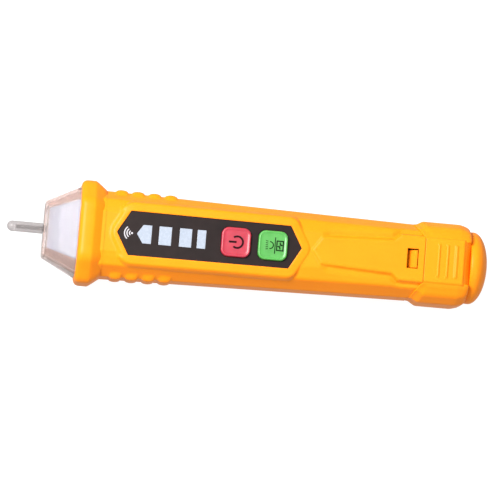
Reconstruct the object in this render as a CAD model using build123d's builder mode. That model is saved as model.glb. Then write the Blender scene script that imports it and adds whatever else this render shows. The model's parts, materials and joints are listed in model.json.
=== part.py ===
"""Non contact voltage tester: a pen-shaped probe with a clear nose, a keypad and a pull-off battery tail.

The tester lies on its back. +X runs from the probe tip to the tail, +Z is out of the keypad, and the
origin is under the middle of the tester, on the surface that it rests on. Everything is in millimetres.
"""
import os

from build123d import *

os.makedirs("parts", exist_ok=True)

# ---- Driving dimensions -------------------------------------------------------------------------
LENGTH = 160.0
TIP_X = -LENGTH / 2
TAIL_X = LENGTH / 2
AXIS_Z = 13.5                # height of the tester's centre line above the rest plane
WALL = 1.5                   # moulded wall thickness
GAP = 0.15                   # gap between parts that slide past each other
SNUG = 0.05                  # gap between parts that are only placed together

# Probe and clear nose
PROBE_R = 1.75
PROBE_NECK_R = 1.3           # where it passes through the nose's front plate
PROBE_RISE = 2.8             # the probe and its rod lie above the centre line, on the board
ROD_R = 0.6
LENS_X = TIP_X + 12.0        # front plate of the clear nose
LENS_FRONT = (9.0, 7.6, 5.5)     # half width, half height, half width of the top facet
LENS_REAR = (14.5, 11.4, 10.0)
LENS_FLANGE_X = -52.6

# Collar that clamps the nose
COLLAR_X = -56.7
COLLAR_BAND = 4.9
COLLAR_SLOPE = 3.6
COLLAR_SLOPE_DEG = 37.0
COLLAR_HALF_W = 17.1
COLLAR_TOP = 13.7
COLLAR_EDGE = 1.2

# Handle
HANDLE_X = -52.4
HANDLE_END_X = 62.0          # the shells are drawn this long, then cut at the tail's parting line
HANDLE_HALF_W = (14.3, 12.2)     # at the front and at the rear
HANDLE_TOP = 11.7
HANDLE_BOTTOM = -10.3
SPLIT_Z = AXIS_Z - 3.0       # joint plane of the two half shells
GRIP_X = (-43.2, -37.8, -32.3, -26.9)
GRIP_R = 2.0
GRIP_RISE = 0.75

# Keypad panel
PANEL_TIPS_X = (-44.2, 16.7)
PANEL_CORNERS_X = (-40.0, 12.65)
PANEL_HALF_W = (7.35, 7.1)
PANEL_T = 0.5
PANEL_TOP = 12.0
FRAME_TOP = 12.4
FRAME_WIDTH = 3.4
WINDOW_W = 6.1
WINDOWS = ((-28.35, 4.1), (-21.65, 4.0), (-16.4, 2.8))    # centre and length of the plain windows
ARROW_X = -35.25
ARROW_L = 4.8
ARROW_POINT = 2.0
BUTTON_XS = {"power": -5.1, "mode": 7.1}
BUTTON_SIZE = 9.7
BUTTON_CORNER = 2.4
BUTTON_TOP = 13.3
BUTTON_TRAVEL = 0.5
BUTTON_FLANGE = 0.9
BUTTON_LIP = 0.6             # how far the flange reaches past the cap of the button

# Rear plateau and latch window
PLATEAU_TOP = 12.2
PLATEAU_XS = (20.2, 23.4, 47.2, 49.7)
PLATEAU_HALF_WS = (4.5, 5.5, 7.5)
LATCH_WINDOW = (51.75, 55.5)
LATCH_HALF_W = 3.3

# Tail cap
PARTING_X = 57.5             # on the plateau
PARTING_SIDE_X = 54.1        # at the sides
PARTING_HALF_W = 7.4
CAP_FLARE_X = (53.0, 57.8)
CAP_TAPER_X = 68.6
CAP_END_X = 74.0
CAP_HALF_W = 13.6
CAP_BOTTOM = -13.5
CAP_TAPER_DEG = 15.0
CAP_PLATEAU_END_X = 70.8
CAP_RIB_XS = (62.2, 65.1, 68.1)
DOME_R = 12.1
DOME_DEPTH = 6.0
DOME_Z = AXIS_Z - 0.75

# Batteries, two AAA cells side by side
CELL_R = 5.2
CELL_L = 43.7
CELL_TIP_R = 1.9
CELL_TIP_L = 0.8
CELL_X = 22.5
CELL_Y = 5.3
CELL_Z = AXIS_Z - 0.5
TRAY_HALF_W = 10.35
TRAY_CORNER = 2.0
TRAY_WALL = 1.4

# Electronics
BOARD_X = (-47.5, 12.0)
BOARD_HALF_W = 10.2
BOARD_T = 1.2
BOARD_TOP_Z = AXIS_Z + 2.2
SWITCH_SIZE = 6.0
SWITCH_H = 3.5
PLUNGER_R = 1.7
PLUNGER_RISE = 0.8
BULKHEAD_X = 18.6
BULKHEAD_T = 1.4
BUZZER_X = -8.0
BUZZER_R = 5.0
BUZZER_H = 4.5
SOUND_HOLE_R = 0.6
POST_XS = (-34.0, -19.0, 1.0)    # posts that carry the circuit board
POST_Y = 8.0
POST_R = 1.4
CHIP_X = -26.0
LEAD_PITCH = 1.27
TORCH_X = (-54.5, -49.5)     # front and flange of the torch lamp
TORCH_R = 2.5
TORCH_Z = AXIS_Z - 4.0
ALARM_X = -53.0
ALARM_Y = 6.0
ALARM_R = 1.5
WIRE_R = 0.5
BOSS_XS = (-42.5, 16.0)
BOSS_R = 2.0
SCREW_R = 0.95

# Pocket clip
CLIP_X = (22.0, 65.6)
CLIP_HALF_W = 3.5
CLIP_Z = (0.4, 2.0)
CLIP_PIVOT_R = 0.8
LATCH_PIVOT_X = 69.0
LATCH_PIVOT_Z = AXIS_Z + 9.0
LATCH_PIVOT_R = 0.6

INNER_TOP_Z = AXIS_Z + HANDLE_TOP - WALL
INNER_BOTTOM_Z = AXIS_Z + HANDLE_BOTTOM + WALL


# ---- Shared outlines ----------------------------------------------------------------------------
def ring(half):
    """A closed outline from its half on the +Y side, listed from the top down."""
    return [(-y, z) for y, z in half] + half[::-1]


def handle_outline(half_w, grow=0.0):
    """Section of the handle: flat top, sloped shoulders, upright sides, chamfered underside."""
    top = AXIS_Z + HANDLE_TOP + grow
    bottom = AXIS_Z + HANDLE_BOTTOM - grow
    side = half_w + grow
    return ring([
        (0.45 * half_w, top),
        (0.76 * half_w + 0.8 * grow, top - 1.5),
        (side, top - 7.5),
        (side, bottom + 5.2),
        (0.85 * half_w + 0.7 * grow, bottom + 1.3),
        (0.62 * half_w, bottom),
    ])


def cap_outline(half_w, top, bottom):
    """Section of the tail cap, a little fuller than the handle's."""
    return ring([
        (7.8, top),
        (0.84 * half_w, top - 2.4),
        (half_w, top - 7.0),
        (half_w, bottom + 6.0),
        (0.74 * half_w, bottom),
    ])


def lens_outline(size, grow=0.0):
    """Eight-sided section of the clear nose."""
    half_w, half_h, facet = size
    drop = 0.45 * half_h
    return ring([
        (facet, AXIS_Z + half_h + grow),
        (half_w + grow, AXIS_Z + half_h - drop),
        (half_w + grow, AXIS_Z - half_h + drop),
        (facet, AXIS_Z - half_h - grow),
    ])


def collar_outline():
    """Eight-sided section of the collar, flat underneath so that the tester rests on it."""
    return ring([
        (9.5, AXIS_Z + COLLAR_TOP),
        (COLLAR_HALF_W, AXIS_Z + 6.5),
        (COLLAR_HALF_W, AXIS_Z - 6.5),
        (9.5, 0.0),
    ])


def panel_outline(grow=0.0):
    """Long hexagon of the keypad panel, seen from above."""
    left, right = PANEL_TIPS_X
    near, far = PANEL_CORNERS_X
    half_left, half_right = PANEL_HALF_W
    return [
        (left - 1.1 * grow, 0.0),
        (near - 0.5 * grow, -half_left - grow),
        (far + 0.5 * grow, -half_right - grow),
        (right + 1.1 * grow, 0.0),
        (far + 0.5 * grow, half_right + grow),
        (near - 0.5 * grow, half_left + grow),
    ]


def plateau_outline(end_x):
    """Raised flat behind the keypad: pointed in front, wider round the latch window."""
    tip, corner, step, wide = PLATEAU_XS
    narrow, mid, full = PLATEAU_HALF_WS
    half = [(corner, narrow), (step, mid), (wide, full), (end_x, full)]
    return [(tip, 0.0)] + [(x, -y) for x, y in half] + half[::-1]


def arrow_outline():
    """The first window, a pentagon that points at the probe."""
    front = ARROW_X - ARROW_L / 2
    back = ARROW_X + ARROW_L / 2
    half = WINDOW_W / 2
    return [(front, 0.0), (front + ARROW_POINT, -half), (back, -half), (back, half),
            (front + ARROW_POINT, half)]


def parting_outline(shift=0.0):
    """Everything behind the line where the tail cap meets the handle, seen from above."""
    far_x = TAIL_X + 5.0
    far_y = 20.0
    slant = (PARTING_X - PARTING_SIDE_X) / (HANDLE_HALF_W[1] - PARTING_HALF_W)
    edge_x = PARTING_X - slant * (far_y - PARTING_HALF_W)
    half = [(PARTING_X + shift, PARTING_HALF_W), (edge_x + shift, far_y), (far_x, far_y)]
    return [(x, -y) for x, y in half] + half[::-1]


def handle_half_w(x):
    """Half width of the handle at x, which narrows evenly towards the tail."""
    front, rear = HANDLE_HALF_W
    part = (x - HANDLE_X) / (HANDLE_END_X - HANDLE_X)
    return front + part * (rear - front)


# ---- Handle shells ------------------------------------------------------------------------------
with BuildPart() as handle_outer:
    for x, half_w in zip((HANDLE_X, HANDLE_END_X), HANDLE_HALF_W):
        with BuildSketch(Plane.YZ.offset(x)) as section:
            Polygon(*handle_outline(half_w), align=None)
            fillet(section.vertices(), radius=1.2)
    loft(ruled=True)

with BuildPart() as handle_inner:
    for x, half_w in zip((HANDLE_X - 1, HANDLE_END_X + 1), HANDLE_HALF_W):
        with BuildSketch(Plane.YZ.offset(x)) as section:
            Polygon(*handle_outline(half_w, grow=-WALL), align=None)
            fillet(section.vertices(), radius=0.6)
    loft(ruled=True)

with BuildPart() as tail_region:
    with BuildSketch(Plane.XY.offset(-5)):
        Polygon(*parting_outline(), align=None)
    extrude(amount=45)

with BuildPart() as upper_shell:
    add(handle_outer.part)
    # Raised frame round the keypad
    with BuildSketch(Plane.XY.offset(AXIS_Z + HANDLE_TOP - 1.8)):
        Polygon(*panel_outline(FRAME_WIDTH), align=None)
    extrude(amount=FRAME_TOP - HANDLE_TOP + 1.8, taper=38)
    # Raised plateau behind it
    with BuildSketch(Plane.XY.offset(AXIS_Z + HANDLE_TOP - 1.8)):
        Polygon(*plateau_outline(HANDLE_END_X), align=None)
    extrude(amount=PLATEAU_TOP - HANDLE_TOP + 1.8, taper=8)
    # Finger grips
    for x in GRIP_X:
        for side in (-1, 1):
            y = side * (handle_half_w(x) + GRIP_RISE - GRIP_R)
            with Locations((x, y, SPLIT_Z)):
                Cylinder(GRIP_R, AXIS_Z + 7.0 - SPLIT_Z, align=(Align.CENTER, Align.CENTER, Align.MIN))
            with Locations((x, y, AXIS_Z + 7.0)):
                Sphere(GRIP_R)
    add(handle_inner.part, mode=Mode.SUBTRACT)
    add(tail_region.part, mode=Mode.SUBTRACT)
    split(bisect_by=Plane.XY.offset(SPLIT_Z), keep=Keep.TOP)
    # Screw bosses
    for x in BOSS_XS:
        with Locations((x, 0, SPLIT_Z)):
            Cylinder(BOSS_R, INNER_TOP_Z - SPLIT_Z + 0.3, align=(Align.CENTER, Align.CENTER, Align.MIN))
            Cylinder(SCREW_R + SNUG, 6.0, align=(Align.CENTER, Align.CENTER, Align.MIN),
                     mode=Mode.SUBTRACT)
    # Recess for the panel
    with BuildSketch(Plane.XY.offset(AXIS_Z + PANEL_TOP - PANEL_T)):
        Polygon(*panel_outline(SNUG), align=None)
    extrude(amount=3, mode=Mode.SUBTRACT)
    # Button holes, light windows and the latch window, through the top wall
    with BuildSketch(Plane.XY.offset(AXIS_Z + HANDLE_TOP - 4)):
        for x in BUTTON_XS.values():
            with Locations((x, 0)):
                RectangleRounded(BUTTON_SIZE + 2 * GAP, BUTTON_SIZE + 2 * GAP, BUTTON_CORNER + GAP)
        for x, length in WINDOWS:
            with Locations((x, 0)):
                Rectangle(length + 2 * SNUG, WINDOW_W + 2 * SNUG)
        with BuildSketch(mode=Mode.PRIVATE) as arrow:
            Polygon(*arrow_outline(), align=None)
            offset(amount=SNUG, kind=Kind.INTERSECTION)
        add(arrow.sketch)
        with Locations((sum(LATCH_WINDOW) / 2, 0)):
            Rectangle(LATCH_WINDOW[1] - LATCH_WINDOW[0], 2 * LATCH_HALF_W)
    extrude(amount=6, mode=Mode.SUBTRACT)
upper_shell.part.label = "upper_shell"
export_step(upper_shell.part, "parts/upper_shell.step")

with BuildPart() as lower_shell:
    add(handle_outer.part)
    add(handle_inner.part, mode=Mode.SUBTRACT)
    add(tail_region.part, mode=Mode.SUBTRACT)
    split(bisect_by=Plane.XY.offset(SPLIT_Z), keep=Keep.BOTTOM)
    # Bulkhead in front of the battery bay
    with Locations((BULKHEAD_X + BULKHEAD_T / 2, 0, INNER_BOTTOM_Z - 0.3)):
        Box(BULKHEAD_T, 2 * TRAY_HALF_W - 2.6, CELL_Z + 3 - INNER_BOTTOM_Z,
            align=(Align.CENTER, Align.CENTER, Align.MIN))
    # Posts that carry the circuit board
    for x in POST_XS:
        for side in (-1, 1):
            with Locations((x, side * POST_Y, INNER_BOTTOM_Z - 0.3)):
                Cylinder(POST_R, BOARD_TOP_Z - BOARD_T - INNER_BOTTOM_Z + 0.3,
                         align=(Align.CENTER, Align.CENTER, Align.MIN))
    # Sound holes below the buzzer
    with BuildSketch(Plane.XY.offset(AXIS_Z + HANDLE_BOTTOM - 1)):
        with Locations((BUZZER_X, 0)):
            with PolarLocations(2.0, 5):
                Circle(SOUND_HOLE_R)
    extrude(amount=WALL + 2, mode=Mode.SUBTRACT)
    # Screw bosses, counterbored from outside
    for x in BOSS_XS:
        with Locations((x, 0, INNER_BOTTOM_Z - 0.3)):
            Cylinder(BOSS_R + 0.6, SPLIT_Z - INNER_BOTTOM_Z + 0.3,
                     align=(Align.CENTER, Align.CENTER, Align.MIN))
        with Locations((x, 0, AXIS_Z + HANDLE_BOTTOM - 0.1)):
            Cylinder(2.1, 2.3, align=(Align.CENTER, Align.CENTER, Align.MIN), mode=Mode.SUBTRACT)
            Cylinder(SCREW_R + 0.15, 12, align=(Align.CENTER, Align.CENTER, Align.MIN),
                     mode=Mode.SUBTRACT)
lower_shell.part.label = "lower_shell"
export_step(lower_shell.part, "parts/lower_shell.step")

SCREW_HEAD_TOP_Z = AXIS_Z + HANDLE_BOTTOM + 2.2
with BuildPart() as shell_screws:
    for x in BOSS_XS:
        with Locations((x, 0, SCREW_HEAD_TOP_Z - 1.5)):
            Cylinder(1.9, 1.5, align=(Align.CENTER, Align.CENTER, Align.MIN))
            Box(2.4, 0.5, 0.6, align=(Align.CENTER, Align.CENTER, Align.MIN), mode=Mode.SUBTRACT)
            Box(0.5, 2.4, 0.6, align=(Align.CENTER, Align.CENTER, Align.MIN), mode=Mode.SUBTRACT)
        with Locations((x, 0, SCREW_HEAD_TOP_Z)):
            Cylinder(SCREW_R, SPLIT_Z + 5.0 - SCREW_HEAD_TOP_Z,
                     align=(Align.CENTER, Align.CENTER, Align.MIN))
shell_screws.part.label = "shell_screws"
export_step(shell_screws.part, "parts/shell_screws.step")

# ---- Collar and clear nose ----------------------------------------------------------------------
with BuildPart() as nose_collar:
    with BuildSketch(Plane.YZ.offset(COLLAR_X)) as section:
        Polygon(*collar_outline(), align=None)
        fillet(section.vertices(), radius=3.0)
    extrude(amount=COLLAR_BAND)
    chamfer(nose_collar.faces().sort_by(Axis.X)[0].edges(), length=COLLAR_EDGE)
    with BuildSketch(Plane.YZ.offset(COLLAR_X + COLLAR_BAND)) as section:
        Polygon(*collar_outline(), align=None)
        fillet(section.vertices(), radius=3.0)
    extrude(amount=COLLAR_SLOPE, taper=COLLAR_SLOPE_DEG)
    # Front seat for the nose's skirt, rear seat for the handle
    with BuildSketch(Plane.YZ.offset(COLLAR_X - 1)):
        Polygon(*lens_outline(LENS_REAR, SNUG), align=None)
    extrude(amount=LENS_FLANGE_X - COLLAR_X + 1.1, mode=Mode.SUBTRACT)
    with BuildSketch(Plane.YZ.offset(LENS_FLANGE_X)) as section:
        Polygon(*handle_outline(HANDLE_HALF_W[0], grow=SNUG), align=None)
        fillet(section.vertices(), radius=1.0)
    extrude(amount=12, mode=Mode.SUBTRACT)
nose_collar.part.label = "nose_collar"
export_step(nose_collar.part, "parts/nose_collar.step")

with BuildPart() as nose_lens:
    for x, size in ((LENS_X, LENS_FRONT), (COLLAR_X, LENS_REAR)):
        with BuildSketch(Plane.YZ.offset(x)):
            Polygon(*lens_outline(size), align=None)
    loft(ruled=True)
    with BuildSketch(Plane.YZ.offset(COLLAR_X)):
        Polygon(*lens_outline(LENS_REAR), align=None)
    extrude(amount=LENS_FLANGE_X - COLLAR_X)
    for x, size in ((LENS_X + WALL, LENS_FRONT), (COLLAR_X + 0.5, LENS_REAR)):
        with BuildSketch(Plane.YZ.offset(x)):
            Polygon(*lens_outline(size, -WALL), align=None)
    loft(ruled=True, mode=Mode.SUBTRACT)
    with BuildSketch(Plane.YZ.offset(COLLAR_X + 0.5)):
        Polygon(*lens_outline(LENS_REAR, -WALL), align=None)
    extrude(amount=10, mode=Mode.SUBTRACT)
    with BuildSketch(Plane.YZ.offset(LENS_X - 1)):
        with Locations((0, AXIS_Z + PROBE_RISE)):
            Circle(PROBE_NECK_R + SNUG)
    extrude(amount=4, mode=Mode.SUBTRACT)
nose_lens.part.label = "nose_lens"
export_step(nose_lens.part, "parts/nose_lens.step")

PROBE_AXIS = Plane(origin=(TIP_X, 0, AXIS_Z + PROBE_RISE), x_dir=(1, 0, 0), z_dir=(0, -1, 0))
PROBE_ROOT = LENS_X + WALL - TIP_X
PROBE_NECK = LENS_X - 0.3 - TIP_X
with BuildPart() as probe_tip:
    with BuildSketch(PROBE_AXIS):
        with BuildLine():
            RadiusArc((0, 0), (PROBE_R, PROBE_R), PROBE_R)
            Polyline((PROBE_R, PROBE_R), (PROBE_NECK, PROBE_R), (PROBE_NECK, PROBE_NECK_R),
                     (PROBE_ROOT, PROBE_NECK_R), (PROBE_ROOT, 3.0),
                     (PROBE_ROOT + 1.0, 3.0), (PROBE_ROOT + 1.0, ROD_R + SNUG),
                     (3.0, ROD_R + SNUG), (2.6, 0), (0, 0))
        make_face()
    revolve(axis=Axis(PROBE_AXIS.origin, (1, 0, 0)))
probe_tip.part.label = "probe_tip"
export_step(probe_tip.part, "parts/probe_tip.step")

with BuildPart() as antenna_rod:
    with BuildSketch(Plane.YZ.offset(TIP_X + 3.0)):
        with Locations((0, AXIS_Z + PROBE_RISE)):
            Circle(ROD_R)
    extrude(amount=31.8)
antenna_rod.part.label = "antenna_rod"
export_step(antenna_rod.part, "parts/antenna_rod.step")

DIFFUSER_IN = -WALL - 0.35
with BuildPart() as light_diffuser:
    for x, size in ((LENS_X + 3.2, LENS_FRONT), (COLLAR_X + 0.5, LENS_REAR)):
        with BuildSketch(Plane.YZ.offset(x)):
            Polygon(*lens_outline(size, DIFFUSER_IN), align=None)
    loft(ruled=True)
    for x, size in ((LENS_X + 4.2, LENS_FRONT), (COLLAR_X + 1.5, LENS_REAR)):
        with BuildSketch(Plane.YZ.offset(x)):
            Polygon(*lens_outline(size, DIFFUSER_IN - 1.0), align=None)
    loft(ruled=True, mode=Mode.SUBTRACT)
    with BuildSketch(Plane.YZ.offset(LENS_X)):
        with Locations((0, AXIS_Z + PROBE_RISE)):
            Circle(ROD_R + 0.3)
    extrude(amount=8, mode=Mode.SUBTRACT)
light_diffuser.part.label = "light_diffuser"
export_step(light_diffuser.part, "parts/light_diffuser.step")

# ---- Keypad -------------------------------------------------------------------------------------
with BuildPart() as panel_overlay:
    with BuildSketch(Plane.XY.offset(AXIS_Z + PANEL_TOP - PANEL_T)):
        Polygon(*panel_outline(), align=None)
        for x in BUTTON_XS.values():
            with Locations((x, 0)):
                RectangleRounded(BUTTON_SIZE + 2 * GAP, BUTTON_SIZE + 2 * GAP, BUTTON_CORNER + GAP,
                                 mode=Mode.SUBTRACT)
        for x, length in WINDOWS:
            with Locations((x, 0)):
                Rectangle(length + 2 * SNUG, WINDOW_W + 2 * SNUG, mode=Mode.SUBTRACT)
        with BuildSketch(mode=Mode.PRIVATE) as arrow:
            Polygon(*arrow_outline(), align=None)
            offset(amount=SNUG, kind=Kind.INTERSECTION)
        add(arrow.sketch, mode=Mode.SUBTRACT)
    extrude(amount=PANEL_T)
panel_overlay.part.label = "panel_overlay"
export_step(panel_overlay.part, "parts/panel_overlay.step")

GUIDE_PLATE_TOP_Z = INNER_TOP_Z - SNUG
with BuildPart() as level_windows:
    with BuildSketch(Plane.XY.offset(BOARD_TOP_Z + 2.0)):
        for x, length in WINDOWS:
            with Locations((x, 0)):
                Rectangle(length, WINDOW_W)
        Polygon(*arrow_outline(), align=None)
    extrude(amount=AXIS_Z + PANEL_TOP - BOARD_TOP_Z - 2.0)
    with BuildSketch(Plane.XY.offset(GUIDE_PLATE_TOP_Z - 1.0)):
        with Locations(((ARROW_X + WINDOWS[-1][0]) / 2, 0)):
            Rectangle(WINDOWS[-1][0] - ARROW_X + 5.5, WINDOW_W + 2.0)
    extrude(amount=1.0)
level_windows.part.label = "level_windows"
export_step(level_windows.part, "parts/level_windows.step")

STEM_BOTTOM_Z = BOARD_TOP_Z + SWITCH_H + PLUNGER_RISE
PLUNGER_BOTTOM_Z = BOARD_TOP_Z + SWITCH_H - 1.0
for name, x in BUTTON_XS.items():
    with BuildPart() as button:
        with BuildSketch(Plane.XY.offset(INNER_TOP_Z - SNUG)):
            with Locations((x, 0)):
                RectangleRounded(BUTTON_SIZE, BUTTON_SIZE, BUTTON_CORNER)
        extrude(amount=AXIS_Z + BUTTON_TOP - INNER_TOP_Z + SNUG)
        fillet(button.faces().sort_by(Axis.Z)[-1].edges(), radius=0.6)
        with BuildSketch(Plane.XY.offset(INNER_TOP_Z - SNUG - BUTTON_FLANGE)):
            with Locations((x, 0)):
                RectangleRounded(BUTTON_SIZE + 2 * BUTTON_LIP, BUTTON_SIZE + 2 * BUTTON_LIP,
                                 BUTTON_CORNER)
        extrude(amount=BUTTON_FLANGE)
        with BuildSketch(Plane.XY.offset(STEM_BOTTOM_Z)):
            with Locations((x, 0)):
                Circle(2.2)
        extrude(amount=INNER_TOP_Z - SNUG - BUTTON_FLANGE - STEM_BOTTOM_Z)
    button.part.label = f"{name}_button"
    export_step(button.part, f"parts/{name}_button.step")

    with BuildPart() as switch:
        with Locations((x, 0, BOARD_TOP_Z)):
            Box(SWITCH_SIZE, SWITCH_SIZE, SWITCH_H, align=(Align.CENTER, Align.CENTER, Align.MIN))
        chamfer(switch.edges().filter_by(Axis.Z), length=0.5)
        with Locations((x, 0, PLUNGER_BOTTOM_Z - BUTTON_TRAVEL - 0.1)):
            Cylinder(PLUNGER_R + SNUG, 5, align=(Align.CENTER, Align.CENTER, Align.MIN),
                     mode=Mode.SUBTRACT)
    switch.part.label = f"{name}_switch"
    export_step(switch.part, f"parts/{name}_switch.step")

    with BuildPart() as plunger:
        with Locations((x, 0, PLUNGER_BOTTOM_Z)):
            Cylinder(PLUNGER_R, STEM_BOTTOM_Z - PLUNGER_BOTTOM_Z,
                     align=(Align.CENTER, Align.CENTER, Align.MIN))
    plunger.part.label = f"{name}_switch_plunger"
    export_step(plunger.part, f"parts/{name}_switch_plunger.step")

# ---- Circuit board and what it carries ----------------------------------------------------------
BOARD_CENTRE_X = sum(BOARD_X) / 2
with BuildPart() as circuit_board:
    with BuildSketch(Plane.XY.offset(BOARD_TOP_Z - BOARD_T)) as outline:
        with Locations((BOARD_CENTRE_X, 0)):
            Rectangle(BOARD_X[1] - BOARD_X[0], 2 * BOARD_HALF_W)
        chamfer(outline.vertices(), length=1.5)
        with Locations((BOSS_XS[0], 0)):
            Circle(BOSS_R + 0.2, mode=Mode.SUBTRACT)
    extrude(amount=BOARD_T)
circuit_board.part.label = "circuit_board"
export_step(circuit_board.part, "parts/circuit_board.step")

with BuildPart() as torch_led:
    with BuildSketch(Plane.YZ.offset(TORCH_X[0])):
        with Locations((0, TORCH_Z)):
            Circle(TORCH_R)
    extrude(amount=TORCH_X[1] - TORCH_X[0])
    fillet(torch_led.faces().sort_by(Axis.X)[0].edges(), radius=2.2)
    with BuildSketch(Plane.YZ.offset(TORCH_X[1])):
        with Locations((0, TORCH_Z)):
            Circle(TORCH_R + 0.4)
    extrude(amount=1.0)
    for side in (-1, 1):
        with Locations((BOARD_X[0], side * LEAD_PITCH, TORCH_Z)):
            Box(3.0, 0.5, 0.5)
        with Locations((BOARD_X[0] + 1.3, side * LEAD_PITCH, TORCH_Z - 0.25)):
            Box(0.5, 0.5, BOARD_TOP_Z - BOARD_T - TORCH_Z + 0.25,
                align=(Align.CENTER, Align.CENTER, Align.MIN))
torch_led.part.label = "torch_led"
export_step(torch_led.part, "parts/torch_led.step")

with BuildPart() as alarm_leds:
    for side in (-1, 1):
        with BuildSketch(Plane.YZ.offset(ALARM_X)):
            with Locations((side * ALARM_Y, BOARD_TOP_Z + ALARM_R)):
                Circle(ALARM_R)
        extrude(amount=6.8)
        with Locations((ALARM_X + 7.8, side * ALARM_Y, BOARD_TOP_Z)):
            Box(2.0, 2 * ALARM_R, 2 * ALARM_R, align=(Align.CENTER, Align.CENTER, Align.MIN))
    fillet(alarm_leds.faces().sort_by(Axis.X)[:2].edges(), radius=1.3)
alarm_leds.part.label = "alarm_leds"
export_step(alarm_leds.part, "parts/alarm_leds.step")

with BuildPart() as level_leds:
    for x in (ARROW_X, *[x for x, _ in WINDOWS]):
        with Locations((x, 0, BOARD_TOP_Z)):
            Box(1.6, 3.2, 1.1, align=(Align.CENTER, Align.CENTER, Align.MIN))
level_leds.part.label = "level_leds"
export_step(level_leds.part, "parts/level_leds.step")

with BuildPart() as controller_chip:
    with Locations((CHIP_X, 0, BOARD_TOP_Z - BOARD_T)):
        Box(8.6, 3.9, 1.5, align=(Align.CENTER, Align.CENTER, Align.MAX))
    for column in range(7):
        for side in (-1, 1):
            with Locations((CHIP_X + (column - 3) * LEAD_PITCH, side * 2.4, BOARD_TOP_Z - BOARD_T)):
                Box(0.4, 1.4, 0.5, align=(Align.CENTER, Align.CENTER, Align.MAX))
controller_chip.part.label = "controller_chip"
export_step(controller_chip.part, "parts/controller_chip.step")

PASSIVE_PLACES = [(-40.0 + 3.1 * i, side * 6.2) for i in range(8) for side in (-1, 1)]
with BuildPart() as board_components:
    for x, y in PASSIVE_PLACES:
        with Locations((x, y, BOARD_TOP_Z)):
            Box(1.6, 0.8, 0.6, align=(Align.CENTER, Align.CENTER, Align.MIN))
board_components.part.label = "board_components"
export_step(board_components.part, "parts/board_components.step")

with BuildPart() as buzzer:
    with Locations((BUZZER_X, 0, BOARD_TOP_Z - BOARD_T)):
        Cylinder(BUZZER_R, BUZZER_H, align=(Align.CENTER, Align.CENTER, Align.MAX))
    fillet(buzzer.faces().sort_by(Axis.Z)[0].edges(), radius=0.5)
    with Locations((BUZZER_X, 0, BOARD_TOP_Z - BOARD_T - BUZZER_H - 0.1)):
        Cylinder(1.0, 1.5, align=(Align.CENTER, Align.CENTER, Align.MIN), mode=Mode.SUBTRACT)
buzzer.part.label = "buzzer"
export_step(buzzer.part, "parts/buzzer.step")

# ---- Battery contacts in the handle -------------------------------------------------------------
CONTACT_X = BULKHEAD_X + BULKHEAD_T
PLATE_T = 0.4
with BuildPart() as contact_plate:
    with Locations((CONTACT_X, -CELL_Y, CELL_Z)):
        Box(PLATE_T, 7.0, 6.4, align=(Align.MIN, Align.CENTER, Align.CENTER))
    with BuildSketch(Plane.YZ.offset(CONTACT_X + PLATE_T)):
        with Locations((-CELL_Y, CELL_Z)):
            Circle(1.8)
    extrude(amount=CELL_X - CELL_TIP_L - CONTACT_X - PLATE_T, taper=12)
contact_plate.part.label = "contact_plate"
export_step(contact_plate.part, "parts/contact_plate.step")

SPRING_R = 2.4
SPRING_WIRE_R = 0.3
SPRING_PITCH = 0.85
SPRING_L = CELL_X - CONTACT_X - PLATE_T
with BuildPart() as contact_spring:
    with Locations((CONTACT_X, CELL_Y, CELL_Z)):
        Box(PLATE_T, 7.0, 6.4, align=(Align.MIN, Align.CENTER, Align.CENTER))
    with BuildLine():
        coil = Helix(pitch=SPRING_PITCH, height=SPRING_L - SPRING_WIRE_R - SNUG, radius=SPRING_R,
                     center=(CONTACT_X + PLATE_T, CELL_Y, CELL_Z), direction=(1, 0, 0))
    with BuildSketch(Plane(origin=coil @ 0, z_dir=coil % 0)):
        Circle(SPRING_WIRE_R)
    sweep(path=coil)
contact_spring.part.label = "contact_spring"
export_step(contact_spring.part, "parts/contact_spring.step")

for name, side in (("red_wire", -1), ("black_wire", 1)):
    route = [
        (BULKHEAD_X, side * 6.0, CELL_Z - 1.0),
        (BULKHEAD_X - 2.2, side * 6.0, CELL_Z - 1.0),
        (BOARD_X[1] - 3.0, side * 7.2, CELL_Z - 3.0),
        (BOARD_X[1] - 3.0, side * 7.2, BOARD_TOP_Z - BOARD_T),
    ]
    with BuildPart() as wire:
        with BuildLine():
            path = FilletPolyline(*route, radius=1.0)
        with BuildSketch(Plane(origin=path @ 0, z_dir=path % 0)):
            Circle(WIRE_R)
        sweep(path=path)
    wire.part.label = name
    export_step(wire.part, f"parts/{name}.step")

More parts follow.
